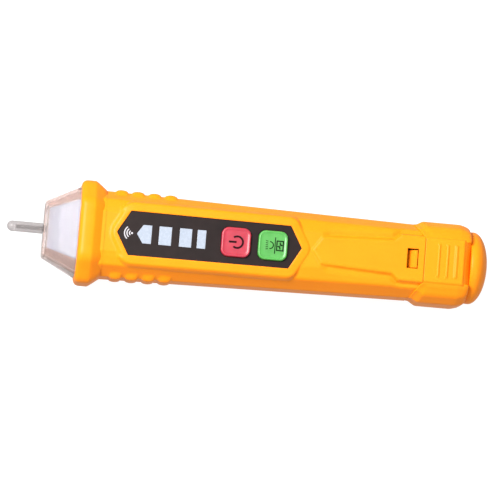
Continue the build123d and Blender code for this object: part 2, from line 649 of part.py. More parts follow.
# ---- Tail: cap, dome, battery tray, cells -------------------------------------------------------
CAP_TOP = HANDLE_TOP
with BuildPart() as tail_cap:
    # Flared front, straight middle, tapered end
    with BuildSketch(Plane.YZ.offset(CAP_FLARE_X[0])):
        Polygon(*cap_outline(handle_half_w(CAP_FLARE_X[0]), AXIS_Z + CAP_TOP, AXIS_Z + HANDLE_BOTTOM),
                align=None)
    with BuildSketch(Plane.YZ.offset(CAP_FLARE_X[1])):
        Polygon(*cap_outline(CAP_HALF_W, AXIS_Z + CAP_TOP, AXIS_Z + CAP_BOTTOM), align=None)
    loft(ruled=True)
    with BuildSketch(Plane.YZ.offset(CAP_FLARE_X[1])):
        Polygon(*cap_outline(CAP_HALF_W, AXIS_Z + CAP_TOP, AXIS_Z + CAP_BOTTOM), align=None)
    extrude(amount=CAP_TAPER_X - CAP_FLARE_X[1])
    with BuildSketch(Plane.YZ.offset(CAP_TAPER_X)):
        Polygon(*cap_outline(CAP_HALF_W, AXIS_Z + CAP_TOP, AXIS_Z + CAP_BOTTOM), align=None)
    extrude(amount=CAP_END_X - CAP_TAPER_X, taper=CAP_TAPER_DEG)
    # Plateau with its pull ribs
    with Locations((PARTING_X - 2, 0, AXIS_Z + CAP_TOP - 1)):
        Box(CAP_PLATEAU_END_X - PARTING_X + 2, 2 * PARTING_HALF_W, PLATEAU_TOP - CAP_TOP + 1,
            align=(Align.MIN, Align.CENTER, Align.MIN))
    for x in CAP_RIB_XS:
        with Locations((x, 0, AXIS_Z + PLATEAU_TOP - 0.2)):
            Box(0.8, 11.0, 0.6, align=(Align.CENTER, Align.CENTER, Align.MIN))
    # Hollow inside
    with BuildSketch(Plane.YZ.offset(CAP_FLARE_X[0] - 1)):
        Polygon(*handle_outline(HANDLE_HALF_W[1], grow=-WALL), align=None)
    extrude(amount=CAP_END_X - 1.6 - CAP_FLARE_X[0] + 1, mode=Mode.SUBTRACT)
    with BuildSketch(Plane.XY.offset(-5)):
        Polygon(*parting_outline(GAP), align=None)
    extrude(amount=45, mode=Mode.INTERSECT)
    # Ears that hold the latch tongue's root
    for side in (-1, 1):
        with Locations((LATCH_PIVOT_X, side * 4.2, LATCH_PIVOT_Z - 1.2)):
            Box(2.6, 1.2, INNER_TOP_Z - LATCH_PIVOT_Z + 1.5, align=(Align.CENTER, Align.CENTER, Align.MIN))
    with BuildSketch(Plane.XZ.offset(-6)):
        with Locations((LATCH_PIVOT_X, LATCH_PIVOT_Z)):
            Circle(LATCH_PIVOT_R + SNUG)
    extrude(amount=12, mode=Mode.SUBTRACT)
    # Channel underneath for the pocket clip, with the holes for its lugs
    with Locations((CAP_FLARE_X[0] - 2, 0, -1)):
        Box(CLIP_X[1] + 1.0 - CAP_FLARE_X[0] + 2, 2 * (CLIP_HALF_W + 0.3), 1 + CLIP_Z[1] + 0.8,
            align=(Align.MIN, Align.CENTER, Align.MIN), mode=Mode.SUBTRACT)
    with BuildSketch(Plane.XZ.offset(-5.2)):
        with Locations((CLIP_X[1], 1.5)):
            Circle(CLIP_PIVOT_R + SNUG)
    extrude(amount=10.4, mode=Mode.SUBTRACT)
    # Seat for the tray's spigot
    with BuildSketch(Plane.YZ.offset(CAP_END_X - 3)):
        with Locations((0, CELL_Z)):
            Circle(2.0)
    extrude(amount=4, mode=Mode.SUBTRACT)
tail_cap.part.label = "tail_cap"
export_step(tail_cap.part, "parts/tail_cap.step")

with BuildPart() as tail_dome:
    with BuildSketch(Plane.XZ):
        with BuildLine():
            Line((TAIL_X - DOME_DEPTH, DOME_Z), (TAIL_X, DOME_Z))
            EllipticalCenterArc((TAIL_X - DOME_DEPTH, DOME_Z), DOME_DEPTH, DOME_R, start_angle=0,
                                arc_size=90)
            Line((TAIL_X - DOME_DEPTH, DOME_Z + DOME_R), (TAIL_X - DOME_DEPTH, DOME_Z))
        make_face()
    revolve(axis=Axis((0, 0, DOME_Z), (1, 0, 0)))
tail_dome.part.label = "tail_dome"
export_step(tail_dome.part, "parts/tail_dome.step")

TRAY_END_X = CELL_X + CELL_L + PLATE_T
with BuildPart() as battery_tray:
    with BuildSketch(Plane.YZ.offset(CELL_X + 0.5)) as section:
        with Locations((0, CELL_Z - 5.9)):
            Rectangle(2 * TRAY_HALF_W, 3.6, align=(Align.CENTER, Align.MIN))
        chamfer(section.vertices().group_by(Axis.Y)[0], length=TRAY_CORNER)
    extrude(amount=TRAY_END_X - CELL_X - 0.5)
    with BuildSketch(Plane.YZ.offset(TRAY_END_X)) as section:
        with Locations((0, CELL_Z - 5.9)):
            Rectangle(2 * TRAY_HALF_W, 10.6, align=(Align.CENTER, Align.MIN))
        chamfer(section.vertices(), length=TRAY_CORNER)
    extrude(amount=TRAY_WALL)
    for side in (-1, 1):
        with BuildSketch(Plane.YZ.offset(CELL_X)):
            with Locations((side * CELL_Y, CELL_Z)):
                Circle(CELL_R + SNUG)
        extrude(amount=CELL_L + PLATE_T, mode=Mode.SUBTRACT)
    # Spigot that locks the tray into the cap
    with BuildSketch(Plane.YZ.offset(TRAY_END_X + TRAY_WALL)):
        with Locations((0, CELL_Z)):
            Circle(1.95)
    extrude(amount=CAP_END_X - TRAY_END_X - TRAY_WALL)
battery_tray.part.label = "battery_tray"
export_step(battery_tray.part, "parts/battery_tray.step")

with BuildPart() as bridge_contact:
    with Locations((CELL_X + CELL_L, 0, CELL_Z + 1.4)):
        Box(PLATE_T, 2 * CELL_Y + 6.0, 5.6, align=(Align.MIN, Align.CENTER, Align.CENTER))
bridge_contact.part.label = "bridge_contact"
export_step(bridge_contact.part, "parts/bridge_contact.step")

# One cell points forward and the other backward, so that the bridge joins them in series
for name, side, tip_x in (("battery_1", -1, CELL_X - CELL_TIP_L),
                          ("battery_2", 1, CELL_X + CELL_L - CELL_TIP_L)):
    with BuildPart() as cell:
        with BuildSketch(Plane.YZ.offset(CELL_X)):
            with Locations((side * CELL_Y, CELL_Z)):
                Circle(CELL_R)
        extrude(amount=CELL_L if side < 0 else CELL_L - CELL_TIP_L)
        fillet(cell.edges().filter_by(GeomType.CIRCLE), radius=0.4)
        with BuildSketch(Plane.YZ.offset(tip_x)):
            with Locations((side * CELL_Y, CELL_Z)):
                Circle(CELL_TIP_R)
        extrude(amount=CELL_TIP_L)
    cell.part.label = name
    export_step(cell.part, f"parts/{name}.step")

# ---- Latch tongue and pocket clip ---------------------------------------------------------------
TONGUE_T = 1.2
TONGUE_HALF_W = 2.9
HOOK_X = (LATCH_WINDOW[0] + 0.4, LATCH_WINDOW[1] - 0.3)
with BuildPart() as latch_tongue:
    with BuildSketch(Plane.XZ.offset(-TONGUE_HALF_W)):
        Polygon(
            (HOOK_X[0], LATCH_PIVOT_Z - TONGUE_T / 2),
            (LATCH_PIVOT_X, LATCH_PIVOT_Z - TONGUE_T / 2),
            (LATCH_PIVOT_X, LATCH_PIVOT_Z + TONGUE_T / 2),
            (HOOK_X[1], LATCH_PIVOT_Z + TONGUE_T / 2),
            (HOOK_X[1], AXIS_Z + PLATEAU_TOP - 0.7),
            (HOOK_X[1] - 0.8, AXIS_Z + PLATEAU_TOP - 0.7),
            (HOOK_X[0], LATCH_PIVOT_Z + TONGUE_T / 2),
            align=None,
        )
    extrude(amount=2 * TONGUE_HALF_W)
    with BuildSketch(Plane.XZ.offset(-4.7)):
        with Locations((LATCH_PIVOT_X, LATCH_PIVOT_Z)):
            Circle(LATCH_PIVOT_R)
    extrude(amount=9.4)
latch_tongue.part.label = "latch_tongue"
export_step(latch_tongue.part, "parts/latch_tongue.step")

CLIP_PIVOT_Z = 1.5
CLIP_TOUCH_Z = AXIS_Z + HANDLE_BOTTOM - GAP
with BuildPart() as pocket_clip:
    with BuildSketch(Plane.XZ.offset(-CLIP_HALF_W)):
        Polygon(
            (CLIP_X[0], CLIP_Z[0] + 0.2),
            (CLIP_X[0] + 2.0, CLIP_Z[0]),
            (CLIP_X[1], CLIP_Z[0] + 0.3),
            (CLIP_X[1], CLIP_Z[1] + 0.3),
            (CLIP_X[1] - 4.0, CLIP_Z[1]),
            (CLIP_X[0] + 6.0, CLIP_Z[1] - 0.2),
            (CLIP_X[0] + 4.0, CLIP_TOUCH_Z),
            (CLIP_X[0] + 2.4, CLIP_TOUCH_Z),
            align=None,
        )
    extrude(amount=2 * CLIP_HALF_W)
    with BuildSketch(Plane.XZ.offset(-5.0)):
        with Locations((CLIP_X[1], CLIP_PIVOT_Z)):
            Circle(CLIP_PIVOT_R)
    extrude(amount=10.0)
pocket_clip.part.label = "pocket_clip"
export_step(pocket_clip.part, "parts/pocket_clip.step")
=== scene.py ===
import json
import math

import bmesh
import bpy
import numpy as np
from mathutils import Matrix, Vector


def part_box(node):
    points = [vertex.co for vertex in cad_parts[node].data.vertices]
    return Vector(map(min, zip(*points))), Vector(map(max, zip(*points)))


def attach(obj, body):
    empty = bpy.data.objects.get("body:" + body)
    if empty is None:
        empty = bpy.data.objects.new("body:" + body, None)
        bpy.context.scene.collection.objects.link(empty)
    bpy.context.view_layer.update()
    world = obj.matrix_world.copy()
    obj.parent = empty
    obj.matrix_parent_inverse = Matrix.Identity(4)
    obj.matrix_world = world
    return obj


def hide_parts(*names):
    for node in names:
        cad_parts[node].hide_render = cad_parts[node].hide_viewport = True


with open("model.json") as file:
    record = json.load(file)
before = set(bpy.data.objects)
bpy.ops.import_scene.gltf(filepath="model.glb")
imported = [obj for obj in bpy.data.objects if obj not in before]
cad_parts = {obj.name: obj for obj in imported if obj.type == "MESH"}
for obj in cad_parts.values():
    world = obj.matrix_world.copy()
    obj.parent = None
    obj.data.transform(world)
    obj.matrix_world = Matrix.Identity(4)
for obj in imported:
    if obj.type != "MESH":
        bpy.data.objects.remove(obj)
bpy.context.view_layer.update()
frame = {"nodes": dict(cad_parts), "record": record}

MM = 0.001
NODES = frame["nodes"]


def low(node, axis):
    """Lowest coordinate of a CAD node along an axis, in millimetres."""
    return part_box(node)[0]["xyz".index(axis)] / MM


def high(node, axis):
    """Highest coordinate of a CAD node along an axis, in millimetres."""
    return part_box(node)[1]["xyz".index(axis)] / MM


# ---- Materials ----------------------------------------------------------------------------------
class Nodes:
    """A short way to write a material's node tree."""

    def __init__(self, name):
        self.material = bpy.data.materials.new(name)
        self.material.use_nodes = True
        self.tree = self.material.node_tree
        self.shader = self.tree.nodes["Principled BSDF"]

    def add(self, kind, inputs=None, **settings):
        node = self.tree.nodes.new(kind)
        for key, value in settings.items():
            setattr(node, key, value)
        for key, value in (inputs or {}).items():
            if isinstance(value, bpy.types.NodeSocket):
                self.tree.links.new(value, node.inputs[key])
            else:
                node.inputs[key].default_value = value
        return node

    def set(self, **values):
        """Numbers and colours that are the same all over, set on the shader itself."""
        for key, value in values.items():
            self.shader.inputs[key.replace("_", " ")].default_value = value

    def link(self, socket, key):
        self.tree.links.new(socket, self.shader.inputs[key])

    def place(self):
        return self.add("ShaderNodeTexCoord").outputs["Object"]

    def noise(self, scale, detail=3.0, roughness=0.55, vector=None):
        return self.add("ShaderNodeTexNoise", {
            "Vector": vector or self.place(), "Scale": scale, "Detail": detail, "Roughness": roughness,
        }).outputs["Fac"]

    def ramp(self, fac, stops):
        node = self.add("ShaderNodeValToRGB", {"Fac": fac})
        elements = node.color_ramp.elements
        while len(elements) < len(stops):
            elements.new(0.5)
        for element, (at, colour) in zip(elements, stops):
            element.position = at
            element.color = (*colour, 1.0) if len(colour) == 3 else colour
        return node.outputs["Color"]

    def spread(self, fac, lowest, highest):
        inputs = {"Value": fac, "To Min": lowest, "To Max": highest}
        return self.add("ShaderNodeMapRange", inputs).outputs["Result"]

    def mix(self, fac, one, two):
        node = self.add("ShaderNodeMix", data_type="RGBA")
        for socket, value in ((node.inputs[0], fac), (node.inputs[6], one), (node.inputs[7], two)):
            if isinstance(value, bpy.types.NodeSocket):
                self.tree.links.new(value, socket)
            else:
                socket.default_value = value if isinstance(value, float) else (*value, 1.0)
        return node.outputs[2]

    def bump(self, height, strength, distance, normal=None):
        inputs = {"Height": height, "Strength": strength, "Distance": distance}
        if normal:
            inputs["Normal"] = normal
        return self.add("ShaderNodeBump", inputs).outputs["Normal"]


def moulded(name, dark, light, rough=(0.38, 0.5), grain=2600.0, grain_depth=0.00001, **values):
    """Moulded plastic: slow colour drift, fine spark-eroded grain and uneven gloss."""
    m = Nodes(name)
    m.link(m.ramp(m.noise(55.0, 4.0), [(0.3, dark), (0.7, light)]), "Base Color")
    m.link(m.spread(m.noise(210.0, 5.0), *rough), "Roughness")
    fine = m.bump(m.noise(grain, 2.0), 0.35, grain_depth)
    m.link(m.bump(m.noise(90.0, 2.0), 0.12, 0.0001, fine), "Normal")
    m.set(**values)
    return m.material


AMBER = moulded("amber_abs", (0.86, 0.236, 0.0035), (0.90, 0.256, 0.0045), rough=(0.36, 0.46), IOR=1.46,
                Specular_IOR_Level=0.17, Subsurface_Weight=0.08, Subsurface_Radius=(0.8, 0.3, 0.05),
                Subsurface_Scale=0.0015)
BLACK = moulded("black_moulding", (0.018, 0.018, 0.020), (0.032, 0.032, 0.035), rough=(0.4, 0.6))


def panel_film():
    """Dark printed film, a little brown, with a faint satin texture."""
    m = Nodes("panel_film")
    m.link(m.ramp(m.noise(160.0, 4.0), [(0.3, (0.0085, 0.0042, 0.0040)), (0.75, (0.0135, 0.0066, 0.0062))]),
           "Base Color")
    m.link(m.spread(m.noise(500.0, 3.0), 0.34, 0.5), "Roughness")
    m.link(m.bump(m.noise(4200.0, 2.0), 0.25, 0.000008), "Normal")
    m.set(Specular_IOR_Level=0.2)
    return m.material


def silicone(name, dark, light, **values):
    """Soft translucent key: light scatters inside it and its surface is satin."""
    m = Nodes(name)
    m.link(m.ramp(m.noise(300.0, 3.0), [(0.25, dark), (0.75, light)]), "Base Color")
    m.link(m.spread(m.noise(800.0, 3.0), 0.3, 0.44), "Roughness")
    m.link(m.bump(m.noise(2600.0, 2.0), 0.25, 0.00001), "Normal")
    m.set(Subsurface_Weight=0.35, Subsurface_Scale=0.0015, **values)
    return m.material


def window_film():
    """Pale, slightly cloudy light windows."""
    m = Nodes("window_film")
    clouds = m.noise(260.0, 2.0)
    m.link(m.ramp(clouds, [(0.3, (0.315, 0.355, 0.425)), (0.7, (0.33, 0.37, 0.44))]), "Base Color")
    m.link(m.spread(m.noise(900.0, 3.0), 0.2, 0.34), "Roughness")
    m.link(m.bump(m.noise(3000.0, 2.0), 0.2, 0.000006), "Normal")
    m.set(Subsurface_Weight=0.3, Subsurface_Radius=(0.9, 1.0, 1.1), Subsurface_Scale=0.001)
    return m.material


def clear(name, tint, roughness=0.04, transmission=1.0, ior=1.45):
    """Clear polycarbonate with faint flow marks."""
    m = Nodes(name)
    m.link(m.ramp(m.noise(120.0, 2.0), [(0.3, tint), (0.7, tuple(min(1.0, c * 1.03) for c in tint))]),
           "Base Color")
    m.link(m.spread(m.noise(400.0, 3.0), roughness, roughness * 2.2), "Roughness")
    m.link(m.bump(m.noise(260.0, 2.0), 0.08, 0.00006), "Normal")
    m.set(Transmission_Weight=transmission, IOR=ior)
    return m.material


def two_facets(name, flat, flank, rough, through=None, **values):
    """One colour on the faces that look up or down and another on the slanted flanks, where the flank colour
    is a painted reflection and painted shade in warm brown, chosen by which way the face looks.

    through gives how much light the flanks and the flat faces let through, for a clear part.
    """
    m = Nodes(name)
    normal = m.add("ShaderNodeTexCoord").outputs["Normal"]
    z = m.add("ShaderNodeSeparateXYZ", {"Vector": normal}).outputs["Z"]
    upright = m.add("ShaderNodeMath", {0: z}, operation="ABSOLUTE").outputs["Value"]
    mask = m.ramp(upright, [(0.80, (0.0, 0.0, 0.0)), (0.9, (1.0, 1.0, 1.0))])
    clouds = m.noise(170.0, 3.0)
    pale = m.ramp(clouds, [(0.3, flat), (0.7, tuple(min(1.0, c * 1.07) for c in flat))])
    # Painted reflection and shade: the slanted flanks get a warm brown colour in place of what they would
    # reflect.
    flank_painted_reflection = m.ramp(clouds, [(0.3, flank), (0.7, tuple(min(1.0, c * 1.12) for c in flank))])
    m.link(m.mix(mask, flank_painted_reflection, pale), "Base Color")
    if through:
        m.link(m.spread(mask, *through), "Transmission Weight")
    m.link(m.spread(m.noise(420.0, 3.0), *rough), "Roughness")
    m.link(m.bump(m.noise(900.0, 3.0), 0.15, 0.00002), "Normal")
    m.set(**values)
    return m.material


def metal(name, dark, light, rough=(0.2, 0.38)):
    """Plated metal with fine drawing marks along X."""
    m = Nodes(name)
    stretch = m.add("ShaderNodeMapping", {"Vector": m.place(), "Scale": (0.12, 1.0, 1.0)}).outputs["Vector"]
    streaks = m.noise(2600.0, 4.0, vector=stretch)
    m.link(m.ramp(streaks, [(0.3, dark), (0.7, light)]), "Base Color")
    m.link(m.spread(streaks, *rough), "Roughness")
    m.link(m.bump(streaks, 0.2, 0.00001), "Normal")
    m.set(Metallic=1.0)
    return m.material


PANEL = panel_film()
RED = silicone("red_silicone", (0.34, 0.020, 0.040), (0.42, 0.030, 0.056), Subsurface_Radius=(1.0, 0.2, 0.15))
GREEN = silicone("green_silicone", (0.058, 0.27, 0.050), (0.080, 0.34, 0.068),
                 Subsurface_Radius=(0.3, 1.0, 0.3))
WINDOW = window_film()
# The flank colours of the clear nose and the frosted insert below are painted reflection and painted shade.
CLEAR = two_facets("clear_polycarbonate", (0.95, 0.94, 0.97), (0.74, 0.60, 0.56), (0.05, 0.12),
                   through=(0.76, 0.94), IOR=1.16)
PROBE_CLEAR = clear("probe_polycarbonate", (0.46, 0.43, 0.43), 0.12, 0.75, 1.3)
WHITE_FROST = two_facets("frosted_insert", (0.345, 0.335, 0.40), (0.40, 0.30, 0.27), (0.45, 0.6),
                         Subsurface_Weight=0.3, Subsurface_Radius=(1.0, 1.0, 1.1), Subsurface_Scale=0.002)
NICKEL = metal("nickel_plate", (0.50, 0.49, 0.46), (0.74, 0.72, 0.68))
STEEL = metal("zinc_plate", (0.42, 0.43, 0.45), (0.62, 0.63, 0.65), rough=(0.25, 0.45))
BOARD = moulded("solder_mask", (0.008, 0.085, 0.035), (0.014, 0.12, 0.05), rough=(0.25, 0.4))
EPOXY = clear("led_epoxy", (0.92, 0.93, 0.95), 0.08)
RED_EPOXY = clear("red_epoxy", (0.75, 0.06, 0.05), 0.08)
RED_PVC = moulded("red_insulation", (0.42, 0.012, 0.012), (0.52, 0.02, 0.018))
BLACK_PVC = moulded("black_insulation", (0.012, 0.012, 0.012), (0.022, 0.022, 0.022))


def cell_jacket(name, plus_low, plus_high):
    """Printed foil round a cell: dark body, copper band at the plus end and bare steel ends."""
    m = Nodes(name)
    place = m.add("ShaderNodeSeparateXYZ", {"Vector": m.place()}).outputs["X"]
    reach = {"Value": place, "From Min": plus_low, "From Max": plus_high}
    band = m.add("ShaderNodeMapRange", reach).outputs["Result"]
    streaks = m.noise(1500.0, 3.0)
    dark = m.ramp(streaks, [(0.3, (0.020, 0.028, 0.050)), (0.7, (0.032, 0.042, 0.070))])
    copper = m.ramp(streaks, [(0.3, (0.42, 0.17, 0.060)), (0.7, (0.52, 0.22, 0.085))])
    body = m.mix(m.ramp(band, [(0.0, (0.0, 0.0, 0.0)), (0.06, (1.0, 1.0, 1.0))]), dark, copper)
    normal = m.add("ShaderNodeTexCoord").outputs["Normal"]
    x = m.add("ShaderNodeSeparateXYZ", {"Vector": normal}).outputs["X"]
    end = m.add("ShaderNodeMath", {0: x}, operation="ABSOLUTE").outputs["Value"]
    steel = m.ramp(end, [(0.6, (0.0, 0.0, 0.0)), (0.8, (1.0, 1.0, 1.0))])
    m.link(m.mix(steel, body, (0.50, 0.49, 0.47)), "Base Color")
    m.link(m.spread(m.noise(700.0, 3.0), 0.25, 0.4), "Roughness")
    m.link(m.bump(streaks, 0.15, 0.00001), "Normal")
    m.set(Metallic=0.75)
    return m.material


JACKET = cell_jacket("cell_jacket_rear", 0.0530, 0.0532)
JACKET_FRONT = cell_jacket("cell_jacket_front", 0.0352, 0.0350)

FINISH = {
    "amber_abs": AMBER, "clear_pc": CLEAR, "frosted_white": WHITE_FROST, "panel_film": PANEL,
    "window_film": WINDOW, "red_silicone": RED, "green_silicone": GREEN, "nickel": NICKEL,
    "steel": STEEL, "board": BOARD, "black_plastic": BLACK, "led_clear": EPOXY, "led_red": RED_EPOXY,
    "cell_jacket": JACKET, "red_insulation": RED_PVC, "black_insulation": BLACK_PVC,
}
SLOT_OF = {s["node"]: s["material_slot"] for s in frame["record"]["subparts"]}
for name, obj in NODES.items():
    obj.data.materials.clear()
    obj.data.materials.append(FINISH[SLOT_OF[name]])
NODES["probe_tip"].data.materials[0] = PROBE_CLEAR
NODES["battery_1"].data.materials[0] = JACKET_FRONT

# ---- Dimensions shared with the CAD part, in millimetres ------------------------------------------
AXIS_Z = 13.5
GAP = 0.15
COLLAR_X = low("nose_collar", "x")
COLLAR_END_X = high("nose_collar", "x")
LENS_X = low("nose_lens", "x")
SKIRT_X = high("nose_lens", "x")
HANDLE_X = low("upper_shell", "x")
SPLIT_Z = low("upper_shell", "z")
PARTING_X = high("upper_shell", "x")
PARTING_SIDE_X = 54.1
PARTING_HALF_W = 7.4
HANDLE_END_X = 62.0
HANDLE_HALF_W = (14.3, 12.2)
HANDLE_TOP = 11.7
HANDLE_BOTTOM = -10.3
PANEL_TIPS_X = (low("panel_overlay", "x"), high("panel_overlay", "x"))
PANEL_CORNERS_X = (-40.0, 12.65)
PANEL_HALF_W = (7.35, 7.1)
PANEL_TOP = 12.0
PLATEAU = ((20.2, 0.0), (23.4, 4.5), (47.2, 5.5), (49.7, 7.5), (90.0, 7.5))
BUTTON_XS = {"power": -5.1, "mode": 7.1}
BUTTON_SIZE = 9.7
BUTTON_CORNER = 2.4
LATCH_WINDOW = (51.75, 55.5)
LATCH_HALF_W = 3.3
GRIP_X = (-43.2, -37.8, -32.3, -26.9)
GRIP_HALF_L = 2.05
GRIP_DEPTH = 0.85
VALLEY_DEPTH = 0.75          # groove along the sides of the plateau
NOSE_HOLE_R = 1.35
PROBE_RISE = 2.8
LENS_FRONT = (9.0, 7.6, 6.5)         # half width, half height and half width of the flat top face
LENS_REAR = (14.5, 11.4, 10.6)
CAP_CLOSE_X = high("tail_cap", "x") - 0.8
CAP_HALF_W = 13.6
CAP_TOP = 11.7
CAP_BOTTOM = -13.5
CAP_PLATEAU_END_X = 70.8
CAP_RIB_XS = (62.2, 65.1, 68.1)
CAP_RIB_HALF_T = 0.52
CAP_RIB_H = 0.42
SHELL_WALL = 1.3
CAP_WALL = 1.2
LENS_WALL = 1.2
LENS_PLATE_T = 1.0
DOME_X = low("tail_dome", "x")
DOME_END_X = high("tail_dome", "x")
DOME_Z = AXIS_Z - 0.75
GRID = 0.34                  # spacing of the skin's points


# ---- Mesh tools ---------------------------------------------------------------------------------
def ring(half):
    """Closed outline from its +Y half, listed from the top down."""
    return [(-y, z) for y, z in half] + half[::-1]


def handle_outline(half_w, grow=0.0):
    top = AXIS_Z + HANDLE_TOP + grow
    bottom = AXIS_Z + HANDLE_BOTTOM - grow
    side = half_w + grow
    return ring([(0.45 * half_w, top), (0.76 * half_w + 0.8 * grow, top - 1.5), (side, top - 7.5),
                 (side, bottom + 5.2), (0.85 * half_w + 0.7 * grow, bottom + 1.3), (0.62 * half_w, bottom)])


def cap_outline(half_w, top, bottom):
    return ring([(7.8, top), (0.84 * half_w, top - 2.4), (half_w, top - 7.0), (half_w, bottom + 6.0),
                 (0.74 * half_w, bottom)])


def lens_outline(half_w, half_h, facet, grow=0.0):
    flat = facet + 0.4 * grow
    side = half_w + grow
    corner = half_h - 0.45 * half_h + 0.4 * grow
    return ring([(flat, AXIS_Z + half_h + grow), (side, AXIS_Z + corner), (side, AXIS_Z - corner),
                 (flat, AXIS_Z - half_h - grow)])


def collar_outline(inset, spread):
    """spread moves the ends of the flat top and bottom outwards as the outline draws in."""
    facet = 9.5 + spread * inset
    return ring([(facet, AXIS_Z + 13.7 - inset), (17.1 - inset, AXIS_Z + 6.5 - 0.2 * inset),
                 (17.1 - inset, AXIS_Z - 6.5 + 0.2 * inset), (facet, inset)])


def rounded(points, radius, steps=6):
    """The outline with its corners rounded, as a closed list of points."""
    out = []
    count = len(points)
    for i, point in enumerate(points):
        corner = Vector(point)
        before = Vector(points[i - 1]) - corner
        after = Vector(points[(i + 1) % count]) - corner
        half_turn = before.angle(after) / 2
        reach = min(radius / math.tan(half_turn), 0.49 * before.length, 0.49 * after.length)
        r = reach * math.tan(half_turn)
        middle = corner + (before.normalized() + after.normalized()).normalized() * (r / math.sin(half_turn))
        start = corner + before.normalized() * reach - middle
        end = corner + after.normalized() * reach - middle
        sweep = math.atan2(start.x * end.y - start.y * end.x, start.dot(end))
        for k in range(steps + 1):
            turn = Matrix.Rotation(sweep * k / steps, 2)
            out.append(tuple(middle + turn @ start))
    return out


def polar(points, angles, centre_z=AXIS_Z):
    """Where rays from the centre line meet a closed outline, one point for each angle."""
    p = np.array(points)
    a = np.arctan2(p[:, 1] - centre_z, p[:, 0])
    r = np.hypot(p[:, 0], p[:, 1] - centre_z)
    order = np.argsort(a)
    a, p = a[order], p[order]
    a = np.concatenate((a[-3:] - 2 * math.pi, a, a[:3] + 2 * math.pi))
    p = np.concatenate((p[-3:], p, p[:3]))
    at = np.searchsorted(a, angles)
    one, two = p[at - 1] - (0, centre_z), p[at] - (0, centre_z)
    ray = np.stack((np.cos(angles), np.sin(angles)), axis=1)
    edge = two - one
    cross = ray[:, 0] * edge[:, 1] - ray[:, 1] * edge[:, 0]
    reach = (one[:, 0] * edge[:, 1] - one[:, 1] * edge[:, 0]) / np.where(abs(cross) < 1e-9, 1e-9, cross)
    out = ray * reach[:, None]
    out[:, 1] += centre_z
    return out


def make(name, verts, faces, material, body, slot, replaces=(), sharp=40.0):
    """Adds a mesh, given in millimetres, as one visible piece of the tester."""
    mesh = bpy.data.meshes.new(name)
    mesh.from_pydata([tuple(c * MM for c in v) for v in verts], [], faces)
    return finish_piece(name, mesh, material, body, replaces, sharp)


def finish_piece(name, mesh, material, body, replaces=(), sharp=40.0):
    """Shades a mesh smooth up to the sharp angle, in degrees, and puts it on its body."""
    bm = bmesh.new()
    bm.from_mesh(mesh)
    bmesh.ops.recalc_face_normals(bm, faces=bm.faces)
    limit = math.radians(sharp)
    for face in bm.faces:
        face.smooth = True
    for edge in bm.edges:
        edge.smooth = edge.calc_face_angle(0.0) < limit
    bm.to_mesh(mesh)
    bm.free()
    mesh.materials.append(material)
    obj = bpy.data.objects.new(name, mesh)
    bpy.context.scene.collection.objects.link(obj)
    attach(obj, body)
    if replaces:
        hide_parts(*replaces)
    return obj


def loft(sections, xs, closed_tube=False):
    """Vertices and faces through rings of (y, z) points placed along X."""
    count = len(sections[0])
    verts = [(x, y, z) for x, section in zip(xs, sections) for y, z in section]
    rows = len(sections)
    faces = []
    for i in range(rows if closed_tube else rows - 1):
        a, b = i * count, ((i + 1) % rows) * count
        for j in range(count):
            k = (j + 1) % count
            faces.append((a + j, a + k, b + k, b + j))
    if not closed_tube:
        faces.append(tuple(range(count)))
        faces.append(tuple(range((rows - 1) * count, rows * count)))
    return verts, faces


def stack_up(outlines, levels):
    """Vertices and faces through outlines of (x, y) points placed along Z."""
    count = len(outlines[0])
    verts = [(x, y, z) for z, outline in zip(levels, outlines) for x, y in outline]
    faces = []
    for i in range(len(outlines) - 1):
        for j in range(count):
            k = (j + 1) % count
            faces.append((i * count + j, i * count + k, (i + 1) * count + k, (i + 1) * count + j))
    faces.append(tuple(range(count)))
    faces.append(tuple(range((len(outlines) - 1) * count, len(outlines) * count)))
    return verts, faces


def join(*parts):
    """Several vertex and face lists as one."""
    verts, faces = [], []
    for more_verts, more_faces in parts:
        offset = len(verts)
        verts += more_verts
        faces += [tuple(i + offset for i in face) for face in more_faces]
    return verts, faces


def distance_outside(x, y, polygon):
    """Signed distance of every point to a convex outline, below zero inside."""
    best = np.full(x.shape, -1e9)
    count = len(polygon)
    for i in range(count):
        (x0, y0), (x1, y1) = polygon[i], polygon[(i + 1) % count]
        length = math.hypot(x1 - x0, y1 - y0)
        nx, ny = (y1 - y0) / length, -(x1 - x0) / length
        best = np.maximum(best, (x - x0) * nx + (y - y0) * ny)
    return best


def outline_distance(x, y, polygon):
    """Signed distance to any outline, below zero inside."""
    best = np.full(x.shape, 1e9)
    inside = np.zeros(x.shape, dtype=bool)
    count = len(polygon)
    for i in range(count):
        (x0, y0), (x1, y1) = polygon[i], polygon[(i + 1) % count]
        ex, ey = x1 - x0, y1 - y0
        part = np.clip(((x - x0) * ex + (y - y0) * ey) / (ex * ex + ey * ey), 0, 1)
        best = np.minimum(best, np.hypot(x - x0 - part * ex, y - y0 - part * ey))
        crosses = (y0 > y) != (y1 > y)
        inside ^= crosses & (x < x0 + ex * (y - y0) / (ey if ey else 1e-12))
    return np.where(inside, -best, best)


def blend_max(a, b, width):
    """The larger of two heights, with the crease between them rounded."""
    h = np.clip(0.5 + 0.5 * (a - b) / width, 0, 1)
    return b + (a - b) * h + width * h * (1 - h)


def ramp_to(value, start, end):
    """0 before start, 1 after end, and an even S curve between them."""
    part = np.clip((value - start) / (end - start), 0, 1)
    return part * part * (3 - 2 * part)


def panel_polygon(grow=0.0):
    left, right = PANEL_TIPS_X
    near, far = PANEL_CORNERS_X
    wide, narrow = PANEL_HALF_W
    return [(left - 1.1 * grow, 0.0), (near - 0.5 * grow, -wide - grow), (far + 0.5 * grow, -narrow - grow),
            (right + 1.1 * grow, 0.0), (far + 0.5 * grow, narrow + grow), (near - 0.5 * grow, wide + grow)]


PLATEAU_POLYGON = [(x, -y) for x, y in PLATEAU] + [(x, y) for x, y in PLATEAU[:0:-1]]


